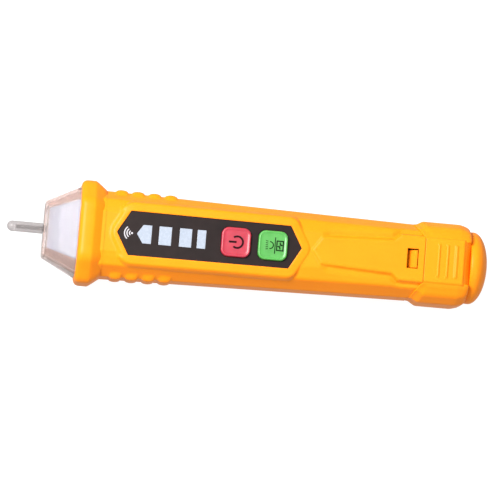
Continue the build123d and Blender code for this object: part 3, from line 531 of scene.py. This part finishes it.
def cut_lines(bm, polygon, reach=2.0):
    """Cuts the skin along the sides of an outline seen from above, only near that outline."""
    count = len(polygon)
    for i in range(count):
        (x0, y0), (x1, y1) = polygon[i], polygon[(i + 1) % count]
        x_low, x_high = min(x0, x1) - reach, max(x0, x1) + reach
        y_low, y_high = min(y0, y1) - reach, max(y0, y1) + reach
        near = [f for f in bm.faces
                if x_low < f.verts[0].co.x < x_high and y_low < f.verts[0].co.y < y_high
                and f.verts[0].co.z > AXIS_Z]
        geometry = near + list({e for f in near for e in f.edges}) + list({v for f in near for v in f.verts})
        bmesh.ops.bisect_plane(bm, geom=geometry, dist=0.01, plane_co=(x0, y0, 0),
                               plane_no=(y1 - y0, x0 - x1, 0))


def thicken(obj, depth):
    """Gives a skin its wall, inwards."""
    wall = obj.modifiers.new("wall", "SOLIDIFY")
    wall.thickness = depth * MM
    wall.offset = -1.0
    wall.use_even_offset = False


# ---- Upper shell --------------------------------------------------------------------------------
def even_spread(points, step):
    """Points at an even spacing along an open line of points."""
    p = np.array(points)
    run = np.concatenate(([0], np.cumsum(np.hypot(*(p[1:] - p[:-1]).T))))
    at = np.linspace(0, run[-1], int(run[-1] / step) + 2)
    return np.stack((np.interp(at, run, p[:, 0]), np.interp(at, run, p[:, 1])), axis=1)


def upper_half(points, cut_z):
    """The part of a closed outline above a level, from the -Y side to the +Y side."""
    keep = [p for p in points if p[1] > cut_z]
    side = max(p[0] for p in points)
    keep.sort(key=lambda p: math.atan2(p[0], p[1] - cut_z))
    return [(-side, cut_z)] + keep + [(side, cut_z)]


def handle_grid():
    """Even grid of the skin over the handle's upper half, as vertex and face lists."""
    front, rear = (upper_half(rounded(handle_outline(w), 1.6, 8), SPLIT_Z) for w in HANDLE_HALF_W)
    columns = even_spread(front, GRID)
    rear = even_spread(rear, GRID)
    pick = np.linspace(0, len(rear) - 1, len(columns))
    rear = np.stack([np.interp(pick, np.arange(len(rear)), rear[:, k]) for k in (0, 1)], axis=1)
    xs = np.linspace(HANDLE_X, HANDLE_END_X, int((HANDLE_END_X - HANDLE_X) / GRID))
    part = ((xs - HANDLE_X) / (HANDLE_END_X - HANDLE_X))[:, None, None]
    yz = columns[None] * (1 - part) + rear[None] * part
    verts = np.concatenate((np.broadcast_to(xs[:, None, None], yz.shape[:2] + (1,)), yz), axis=2)
    count = len(columns)
    faces = [(i * count + j, i * count + j + 1, (i + 1) * count + j + 1, (i + 1) * count + j)
             for i in range(len(xs) - 1) for j in range(count - 1)]
    return verts.reshape(-1, 3), faces


def cut_at_parting(bm):
    """Trims the skin along the three-sided parting line at the tail cap."""
    slant = (PARTING_X - PARTING_SIDE_X) / (HANDLE_HALF_W[1] - PARTING_HALF_W)
    for place, normal in (((PARTING_X, 0, 0), (1, 0, 0)),
                          ((PARTING_X, PARTING_HALF_W, 0), (1, slant, 0)),
                          ((PARTING_X, -PARTING_HALF_W, 0), (1, -slant, 0))):
        bmesh.ops.bisect_plane(bm, geom=bm.verts[:] + bm.edges[:] + bm.faces[:], dist=0.01, plane_co=place,
                               plane_no=normal, clear_outer=True)


def top_height(x, y, z):
    """Height of the raised frame, the plateau and the panel's recess over the plain skin."""
    sd = distance_outside(x, y, panel_polygon())
    rim = outline_distance(x, y, panel_polygon(-3.0)) - 3.0
    square = outline_distance(x, y, panel_polygon(-1.0)) - 1.0
    rear = ramp_to(x, -8.0, 4.0)
    rim = rim * (1 - rear) + square * rear
    frame_z = np.interp(rim, [-9, 0.0, 0.12, 0.35, 2.3, 2.75, 3.15, 3.7, 4.4],
                        [12.2, 12.3, 12.36, 12.4, 12.12, 11.85, 11.2, 9.9, -30])
    # The frame's front end falls away as a soft rounded nose
    nose_z = np.interp(rim, [-9, 0.0, 1.1, 1.5, 2.1, 2.9, 3.5, 4.4],
                       [12.4, 12.4, 12.38, 12.22, 11.8, 11.2, 10.7, 10.2])
    part = ramp_to(-x, 40.0, 43.0) * (1 - ramp_to(abs(y), 6.5, 8.5))
    frame_z = frame_z * (1 - part) + nose_z * part
    z = z - 0.15 * part * ramp_to(rim, 1.5, 3.2)
    raised = blend_max(z, AXIS_Z + frame_z, 0.22)
    out = np.where(rim < 4.3, raised, z)
    flat = outline_distance(x, y, PLATEAU_POLYGON)
    beside = (flat > 0) * (z > AXIS_Z + 9) * ramp_to(x, 23.0, 26.0)
    out = out - VALLEY_DEPTH * np.exp(-((flat - 0.8) / 1.15) ** 2) * beside
    step = np.interp(flat, [-0.6, -0.25, 0.0, 0.5, 1.0], [12.2, 12.13, 11.95, 11.15, -30])
    out = np.where(flat < 1.0, blend_max(out, AXIS_Z + step, 0.15), out)
    out = np.where(sd < -0.005, AXIS_Z + 11.5, out)
    return out


def grip_push(x, z):
    """How far the finger grips stand out from the side."""
    push = np.zeros(x.shape)
    for centre in GRIP_X:
        along = np.clip(1 - ((x - centre) / GRIP_HALF_L) ** 2, 0, 1)
        up = 1 - ramp_to(z, AXIS_Z + 4.6, AXIS_Z + 7.0)
        push = np.maximum(push, np.sqrt(along) * up)
    return push


def make_upper_shell():
    """Handle's upper skin with grips, raised frame, plateau, key holes and latch window."""
    verts, faces = handle_grid()
    bm = bmesh.new()
    made = [bm.verts.new(v) for v in verts]
    for face in faces:
        bm.faces.new([made[i] for i in face])
    cut_at_parting(bm)
    for grow in (-0.01, 0.12, 2.3, 2.75, 3.15):
        cut_lines(bm, panel_polygon(grow))
    cut_lines(bm, PLATEAU_POLYGON)
    half_hole = BUTTON_SIZE / 2 + GAP
    holes = [(x - half_hole, x + half_hole, half_hole) for x in BUTTON_XS.values()]
    holes.append((*LATCH_WINDOW, LATCH_HALF_W))
    for x0, x1, half in holes:
        cut_lines(bm, [(x0, -half), (x1, -half), (x1, half), (x0, half)], 1.0)
    gone = []
    for face in bm.faces:
        centre = face.calc_center_median()
        if centre.z > AXIS_Z and any(x0 < centre.x < x1 and abs(centre.y) < half for x0, x1, half in holes):
            gone.append(face)
    bmesh.ops.delete(bm, geom=gone, context="FACES")
    bm.normal_update()
    co = np.array([v.co for v in bm.verts])
    side = abs(co[:, 1]) > 8.5
    push = grip_push(co[:, 0], co[:, 2]) * side * GRIP_DEPTH
    lean = np.where(co[:, 2:3] > AXIS_Z + 3.5, [[0, 0.87, 0.5]], [[0, 1.0, 0]])
    co += push[:, None] * lean * np.sign(co[:, 1:2]) ** [[0, 1, 0]]
    co[:, 2] = np.where(co[:, 2] > AXIS_Z + 5, top_height(co[:, 0], co[:, 1], co[:, 2]), co[:, 2])
    co[:, 1] -= np.sign(co[:, 1]) * 0.28 * np.clip(1 - (co[:, 2] - SPLIT_Z) / 0.3, 0, 1)
    for v, place in zip(bm.verts, co):
        v.co = place * MM
    mesh = bpy.data.meshes.new("upper_shell_skin")
    bm.to_mesh(mesh)
    bm.free()
    obj = finish_piece("upper_shell_skin", mesh, AMBER, "handle", ("upper_shell",), 55.0)
    thicken(obj, SHELL_WALL)


make_upper_shell()


# ---- Collar, clear nose and probe -----------------------------------------------------------------
TURN = np.linspace(-math.pi, math.pi, 289)[:-1] + 0.0001


def make_collar():
    """Wide ring round the root of the nose: rounded front lip, flat band and sloped rear."""
    profile = [(0.0, 1.85), (0.16, 1.2), (0.5, 0.62), (0.95, 0.26), (1.5, 0.06), (2.1, 0.0), (4.35, 0.0),
               (4.8, 0.08), (5.2, 0.3), (6.4, 1.15), (7.6, 2.1), (8.3, 2.62), (8.5, 2.95)]
    xs = [COLLAR_X + dx for dx, _ in profile]
    sections = [polar(rounded(collar_outline(inset, 0.5 if dx < 2.0 else -0.35), 5.0, 10), TURN)
                for dx, inset in profile]
    handle = polar(rounded(handle_outline(HANDLE_HALF_W[0], 0.05), 1.6, 8), TURN)
    lens = polar(rounded(lens_outline(*LENS_REAR, 0.05), 0.8, 4), TURN)
    xs += [COLLAR_END_X, SKIRT_X, SKIRT_X, COLLAR_X]
    sections += [handle, handle, lens, lens]
    verts, faces = loft(sections, xs, closed_tube=True)
    make("nose_collar_skin", verts, faces, AMBER, "handle", "amber_abs", ("nose_collar",), 50.0)


def lens_section(part, grow, radius):
    """Rounded outline of the nose at a part of the way from its front to the collar."""
    size = [a + part * (b - a) for a, b in zip(LENS_FRONT, LENS_REAR)]
    return polar(rounded(lens_outline(*size, grow), radius, 5), TURN)


def bore(radius):
    """Round outline on the probe's axis."""
    return np.stack((radius * np.cos(TURN), AXIS_Z + PROBE_RISE + radius * np.sin(TURN)), axis=1)


def make_nose():
    """Clear faceted shell with a front plate that the probe passes through."""
    length = COLLAR_X - LENS_X
    back = LENS_X + LENS_PLATE_T
    xs = [LENS_X, LENS_X + 0.12, LENS_X + 0.4, COLLAR_X, SKIRT_X, SKIRT_X, COLLAR_X + 0.5, back]
    sections = [lens_section(0, -0.45, 0.9), lens_section(0, -0.15, 0.9),
                lens_section(0.4 / length, 0, 0.9), lens_section(1, 0, 0.9), lens_section(1, 0, 0.9),
                lens_section(1, -LENS_WALL, 0.6), lens_section(1, -LENS_WALL, 0.6),
                lens_section(LENS_PLATE_T / length, -LENS_WALL, 0.6)]
    xs += [back, LENS_X]
    sections += [bore(NOSE_HOLE_R)] * 2
    verts, faces = loft(sections, xs, closed_tube=True)
    make("nose_lens_shell", verts, faces, CLEAR, "handle", "clear_pc", ("nose_lens",), 30.0)


def make_insert():
    """Frosted shell close behind the clear faces, with a pocket for the probe's root."""
    front, rear = LENS_X + 1.3, COLLAR_X + 0.4
    flare = 0.35                     # how much wider its flat faces are than the nose's own
    length = COLLAR_X - LENS_X

    def section(x, grow):
        part = min(1.0, (x - LENS_X) / length)
        half_w, half_h, facet = [a + part * (b - a) for a, b in zip(LENS_FRONT, LENS_REAR)]
        return polar(rounded(lens_outline(half_w, half_h, facet + flare, grow), 0.5, 4), TURN)

    rows = [(front, section(front, -2.0)), (front + 0.25, section(front, -1.65)),
            (rear, section(rear, -1.65)), (rear, section(rear, -2.65)),
            (front + 2.2, section(front + 1.0, -2.65)), (front + 2.2, bore(1.3)), (front + 1.5, bore(1.3)),
            (front + 1.5, bore(3.2)), (front, bore(3.2))]
    verts, faces = loft([yz for _, yz in rows], [x for x, _ in rows], closed_tube=True)
    make("frosted_insert", verts, faces, WHITE_FROST, "handle", "frosted_white", ("light_diffuser",), 30.0)


make_collar()
make_nose()
make_insert()


# ---- Keypad -------------------------------------------------------------------------------------
def rounded_square(x, size, corner, steps=8):
    """Outline seen from above, centred on the keypad's line."""
    half = size / 2
    square = [(-half, -half), (half, -half), (half, half), (-half, half)]
    return [(x + dx, dy) for dx, dy in rounded(square, corner, steps)]


def make_button(name, x, material, slot):
    """Square key with a slim raised rim and a shallow crown inside it."""
    profile = [(0.0, 10.15), (0.0, 12.3), (0.05, 12.95), (0.16, 13.17), (0.34, 13.28), (0.52, 13.3),
               (0.7, 13.24), (0.9, 13.12), (1.2, 13.08), (2.2, 13.13), (3.4, 13.17), (4.3, 13.18)]
    outlines = [rounded_square(x, BUTTON_SIZE - 2 * inset, max(0.25, BUTTON_CORNER - 0.9 * inset))
                for inset, _ in profile]
    verts, faces = stack_up(outlines, [AXIS_Z + z for _, z in profile])
    flange = stack_up([rounded_square(x, BUTTON_SIZE + 1.2, 2.4)] * 2, [AXIS_Z + 9.25, AXIS_Z + 10.15])
    angles = [2 * math.pi * k / 48 for k in range(48)]
    stem = stack_up([[(x + 2.2 * math.cos(a), 2.2 * math.sin(a)) for a in angles]] * 2,
                    [AXIS_Z + 6.5, AXIS_Z + 9.25])
    make(f"{name}_key_cap", *join((verts, faces), flange, stem), material, f"{name}_key", slot,
         (f"{name}_button",), 50.0)


make_button("power", BUTTON_XS["power"], RED, "red_silicone")
make_button("mode", BUTTON_XS["mode"], GREEN, "green_silicone")


def strip(points, width, z, thickness=0.06, closed=False):
    """A flat printed line of a given width through the points."""
    p = [Vector(q) for q in points]
    count = len(p)
    left, right = [], []
    for i in range(count):
        ahead = p[(i + 1) % count] - p[i] if (closed or i < count - 1) else p[i] - p[i - 1]
        behind = p[i] - p[i - 1] if (closed or i > 0) else ahead
        along = (ahead.normalized() + behind.normalized()).normalized()
        normal = Vector((-along.y, along.x)) * (width / 2) / max(0.5, along.dot(ahead.normalized()))
        left.append(p[i] + normal)
        right.append(p[i] - normal)
    verts = []
    for level in (z, z + thickness):
        verts += [(q.x, q.y, level) for q in left] + [(q.x, q.y, level) for q in right]
    faces = []
    for i in range(count if closed else count - 1):
        k = (i + 1) % count
        a, b, c, d = i, k, count + k, count + i
        lift = 2 * count
        faces += [(a, b, c, d), (a + lift, b + lift, c + lift, d + lift), (a, b, b + lift, a + lift),
                  (d, c, c + lift, d + lift)]
    if not closed:
        for i in (0, count - 1):
            faces.append((i, count + i, count + i + 2 * count, i + 2 * count))
    return verts, faces


def plate(points, z, thickness=0.06):
    """A flat printed patch."""
    return stack_up([points, points], [z, z + thickness])


def arc(x, y, r, start, end, steps=28):
    """Points along an arc, with its angles in degrees."""
    return [(x + r * math.cos(math.radians(start + (end - start) * k / steps)),
             y + r * math.sin(math.radians(start + (end - start) * k / steps))) for k in range(steps + 1)]


INK = moulded("printing_ink", (0.012, 0.0016, 0.003), (0.020, 0.0028, 0.005), rough=(0.6, 0.75),
              Specular_IOR_Level=0.08)
INK_GREEN = moulded("printing_ink_green", (0.0035, 0.014, 0.0035), (0.006, 0.022, 0.006), rough=(0.6, 0.75),
                    Specular_IOR_Level=0.08)
INK_WHITE = moulded("printing_ink_white", (0.42, 0.40, 0.43), (0.47, 0.45, 0.48), rough=(0.4, 0.55))


def make_symbols():
    """Printed marks: power sign, lamp sign, a boxed pulse, and signal arcs at the probe end."""
    z = AXIS_Z + 13.165
    x = BUTTON_XS["power"] + 0.35
    marks = join(strip(arc(x, 0, 1.9, -128, 128, 40), 0.62, z),
                 strip([(x - 2.75, 0), (x - 0.2, 0)], 0.66, z))
    make("power_sign", *marks, INK, "power_key", "red_silicone")
    x = BUTTON_XS["mode"]
    z = AXIS_Z + 13.15
    bowl = arc(x - 1.05, 0, 1.15, -90, 90, 20)
    marks = [strip([(x - 1.05, -1.3)] + bowl + [(x - 1.05, 1.3)], 0.36, z, closed=True),
             strip([(x + 0.66, -2.7), (x + 0.66, 2.7)], 0.3, z)]
    for k in range(5):
        y = (k - 2) * 0.62
        marks.append(strip([(x - 1.6, y), (x - 2.45, y * 1.12)], 0.24, z))
    box = [(x + 1.25, -1.55), (x + 3.35, -1.55), (x + 3.35, 1.55), (x + 1.25, 1.55)]
    pulse = [(x + 2.3, -1.15), (x + 2.3, -0.55), (x + 1.65, -0.25), (x + 2.95, 0.25), (x + 2.3, 0.55),
             (x + 2.3, 1.15)]
    marks += [strip(box, 0.4, z, closed=True), strip(pulse, 0.38, z)]
    make("mode_signs", *join(*marks), INK_GREEN, "mode_key", "green_silicone")
    x = -40.6
    z = AXIS_Z + PANEL_TOP + 0.005
    marks = [strip(arc(x + 1.3, 0, r, 128, 232, 24), 0.36, z, 0.05) for r in (0.85, 1.65, 2.45)]
    marks.append(plate(arc(x + 1.3, 0, 0.34, 0, 340, 17), z, 0.05))
    make("signal_arcs", *join(*marks), INK_WHITE, "handle", "panel_film")


make_symbols()


# ---- Tail cap and dome --------------------------------------------------------------------------
def parting_at(y):
    """Where the tail cap starts along X."""
    slant = (PARTING_X - PARTING_SIDE_X) / (HANDLE_HALF_W[1] - PARTING_HALF_W)
    return PARTING_X + GAP - slant * np.maximum(0, abs(y) - PARTING_HALF_W)


def make_tail_cap():
    """Fuller section that ramps up from the handle's at the parting line and tapers at the tail."""
    turn = np.linspace(-math.pi, math.pi, 361)[:-1] + 0.0001
    slim = polar(rounded(cap_outline(12.35, AXIS_Z + CAP_TOP, AXIS_Z + HANDLE_BOTTOM), 1.6, 8), turn)
    full, end, last = (
        polar(rounded(cap_outline(CAP_HALF_W - side, AXIS_Z + CAP_TOP - top, AXIS_Z + CAP_BOTTOM + bottom),
                      4.5, 10), turn)
        for side, top, bottom in ((0.0, 0.0, 0.0), (0.8, 0.5, 0.8), (1.9, 1.5, 2.0)))
    start = parting_at(slim[:, 0])
    rows = np.concatenate((np.linspace(0, 0.3, 22)[:-1], np.linspace(0.3, 1, 50)))
    xs, yz = [], []
    for t in rows:
        x = start + t * (CAP_CLOSE_X - start)
        swell = ramp_to(x - start, 0.3, 3.4)[:, None]
        taper = np.clip((x - 69.2) / 3.2, 0, 1)[:, None] ** 1.5
        close = (1 - np.sqrt(1 - np.clip((x - 71.9) / (CAP_CLOSE_X - 71.9), 0, 1) ** 2))[:, None]
        section = slim * (1 - swell) + full * swell
        section = section * (1 - taper) + (section + (end - full)) * taper
        section = section * (1 - close) + (section + (last - end)) * close
        xs.append(x)
        yz.append(section)
    x = np.array(xs)
    y = np.array(yz)[:, :, 0]
    z = np.array(yz)[:, :, 1]
    sd = np.maximum(abs(y) - PARTING_HALF_W, x - CAP_PLATEAU_END_X)
    level = np.interp(sd, [-0.5, -0.2, 0.0, 0.3, 0.8], [12.2, 12.13, 11.95, 11.2, -30])
    up = (z > AXIS_Z + 6) & (sd < 0.8)
    z = np.where(up, blend_max(z, AXIS_Z + level, 0.15), z)
    # Recessed slope behind the plateau
    dip = ramp_to(x, CAP_PLATEAU_END_X + 0.1, CAP_CLOSE_X - 0.1) * (1 - ramp_to(abs(y), 6.7, 7.1))
    z = np.where(z > AXIS_Z + 6, z - 1.4 * dip, z)
    for rib in CAP_RIB_XS:
        along = np.clip(1 - ((x - rib) / CAP_RIB_HALF_T) ** 2, 0, 1)
        rise = CAP_RIB_H * np.sqrt(along) * (1 - ramp_to(abs(y), 5.2, 5.6))
        z = z + np.where((z > AXIS_Z + 6) & (abs(y) < 5.6), rise, 0)
    count = len(turn)
    verts = np.stack((x, y, z), axis=2).reshape(-1, 3)
    faces = []
    for i in range(len(rows) - 1):
        for j in range(count):
            k = (j + 1) % count
            faces.append((i * count + j, i * count + k, (i + 1) * count + k, (i + 1) * count + j))
    faces.append(tuple(range((len(rows) - 1) * count, len(rows) * count)))
    obj = make("tail_cap_skin", verts, faces, AMBER, "tail", "amber_abs", ("tail_cap",), 50.0)
    thicken(obj, CAP_WALL)


def make_tail_dome():
    """End dome with a rounded lip round its foot."""
    foot = CAP_CLOSE_X - DOME_X + 0.05
    profile = [(foot, 10.4), (foot, 11.5), (foot + 0.1, 11.75), (foot + 0.35, 11.9), (foot + 0.7, 11.98),
               (0.7, 12.0)]
    for k in range(1, 33):
        a = math.pi / 2 * k / 32
        profile.append((0.7 + (DOME_END_X - DOME_X - 0.7) * math.sin(a), 12.0 * math.cos(a) ** 0.96 + 0.02))
    turn = np.linspace(0, 2 * math.pi, 145)[:-1]
    sections = [[(r * math.cos(a), DOME_Z + r * math.sin(a)) for a in turn] for _, r in profile]
    verts, faces = loft(sections, [DOME_X + dx for dx, _ in profile])
    make("tail_dome_skin", verts, faces, AMBER, "tail", "amber_abs", ("tail_dome",), 50.0)


make_tail_cap()
make_tail_dome()


# ---- Finer edges on the CAD pieces that stay ------------------------------------------------------
def soften(node, width, segments=2, angle=25.0):
    """Welds the seams of a CAD node's mesh and rounds its edges a little."""
    obj = NODES[node]
    weld = obj.modifiers.new("weld", "WELD")
    weld.merge_threshold = 0.000002
    bevel = obj.modifiers.new("edges", "BEVEL")
    bevel.width = width * MM
    bevel.segments = segments
    bevel.limit_method = "ANGLE"
    bevel.angle_limit = math.radians(angle)
    bevel.harden_normals = False


EDGE_WIDTHS = {
    "lower_shell": 0.25, "latch_tongue": 0.15, "pocket_clip": 0.35, "battery_tray": 0.2, "circuit_board": 0.08,
    "power_switch": 0.1, "mode_switch": 0.1, "buzzer": 0.1, "shell_screws": 0.08, "controller_chip": 0.06,
    "board_components": 0.06, "contact_plate": 0.06, "bridge_contact": 0.08, "level_leds": 0.06,
    "panel_overlay": 0.04, "level_windows": 0.08,
}
for node, width in EDGE_WIDTHS.items():
    soften(node, width)

# ---- Camera, light and floor --------------------------------------------------------------------
VIEW_SLOPE = math.radians(5.15)      # the tester's line runs down to the right by this much
VIEW_TILT_Y = math.radians(7.0)      # the camera leans towards the lower side
VIEW_TILT_X = math.radians(5.0)      # and towards the probe
VIEW_TARGET = Vector((0.8, -0.6, AXIS_Z)) * MM
VIEW_WIDTH = 0.1657
LENS_MM = 250.0
SENSOR_MM = 36.0


def make_camera():
    """Long lens from above, turned so that the probe points left and slightly up."""
    back = Vector((-math.sin(VIEW_TILT_X), -math.sin(VIEW_TILT_Y), 1.0)).normalized()
    flat_right = (Vector((1, 0, 0)) - back * back.x).normalized()
    flat_up = back.cross(flat_right)
    right = flat_right * math.cos(VIEW_SLOPE) + flat_up * math.sin(VIEW_SLOPE)
    up = back.cross(right)
    data = bpy.data.cameras.new("camera")
    data.lens = LENS_MM
    data.sensor_width = SENSOR_MM
    data.clip_start = 0.01
    camera = bpy.data.objects.new("camera", data)
    bpy.context.scene.collection.objects.link(camera)
    distance = VIEW_WIDTH * LENS_MM / SENSOR_MM
    turn = Matrix((right, up, back)).transposed().to_4x4()
    camera.matrix_world = Matrix.Translation(VIEW_TARGET + back * distance) @ turn
    bpy.context.scene.camera = camera


def soft_light(name, place, size, watts, colour):
    data = bpy.data.lights.new(name, "AREA")
    data.size = size
    data.energy = watts
    data.color = colour
    light = bpy.data.objects.new(name, data)
    bpy.context.scene.collection.objects.link(light)
    light.location = place
    light.rotation_mode = "QUATERNION"
    light.rotation_quaternion = (-Vector(place)).to_track_quat("-Z", "Y")


def make_floor():
    """White table top that only the camera sees, so it throws no colour back on the tester."""
    mesh = bpy.data.meshes.new("floor")
    half = 3.0
    level = -0.0003
    mesh.from_pydata([(-half, -half, level), (half, -half, level), (half, half, level), (-half, half, level)],
                     [], [(0, 1, 2, 3)])
    floor = bpy.data.objects.new("floor", mesh)
    bpy.context.scene.collection.objects.link(floor)
    m = Nodes("floor")
    m.link(m.ramp(m.noise(3.0, 2.0), [(0.3, (0.15, 0.15, 0.15)), (0.7, (0.17, 0.17, 0.17))]), "Base Color")
    m.set(Roughness=0.9, Emission_Color=(1.0, 1.0, 1.0, 1.0), Emission_Strength=0.92)
    mesh.materials.append(m.material)
    floor.visible_diffuse = False
    floor.visible_glossy = False


def make_world():
    """Even white surroundings."""
    world = bpy.data.worlds.new("studio")
    world.use_nodes = True
    background = world.node_tree.nodes["Background"]
    background.inputs["Color"].default_value = (1.0, 1.0, 1.0, 1.0)
    background.inputs["Strength"].default_value = 0.62
    bpy.context.scene.world = world
    bpy.context.scene.view_settings.view_transform = "Standard"


make_camera()
make_world()
make_floor()
soft_light("key", (-0.46, 0.22, 0.80), 0.4, 17.0, (1.0, 0.99, 0.98))
soft_light("fill", (0.45, -0.45, 0.70), 0.8, 1.5, (1.0, 1.0, 1.0))
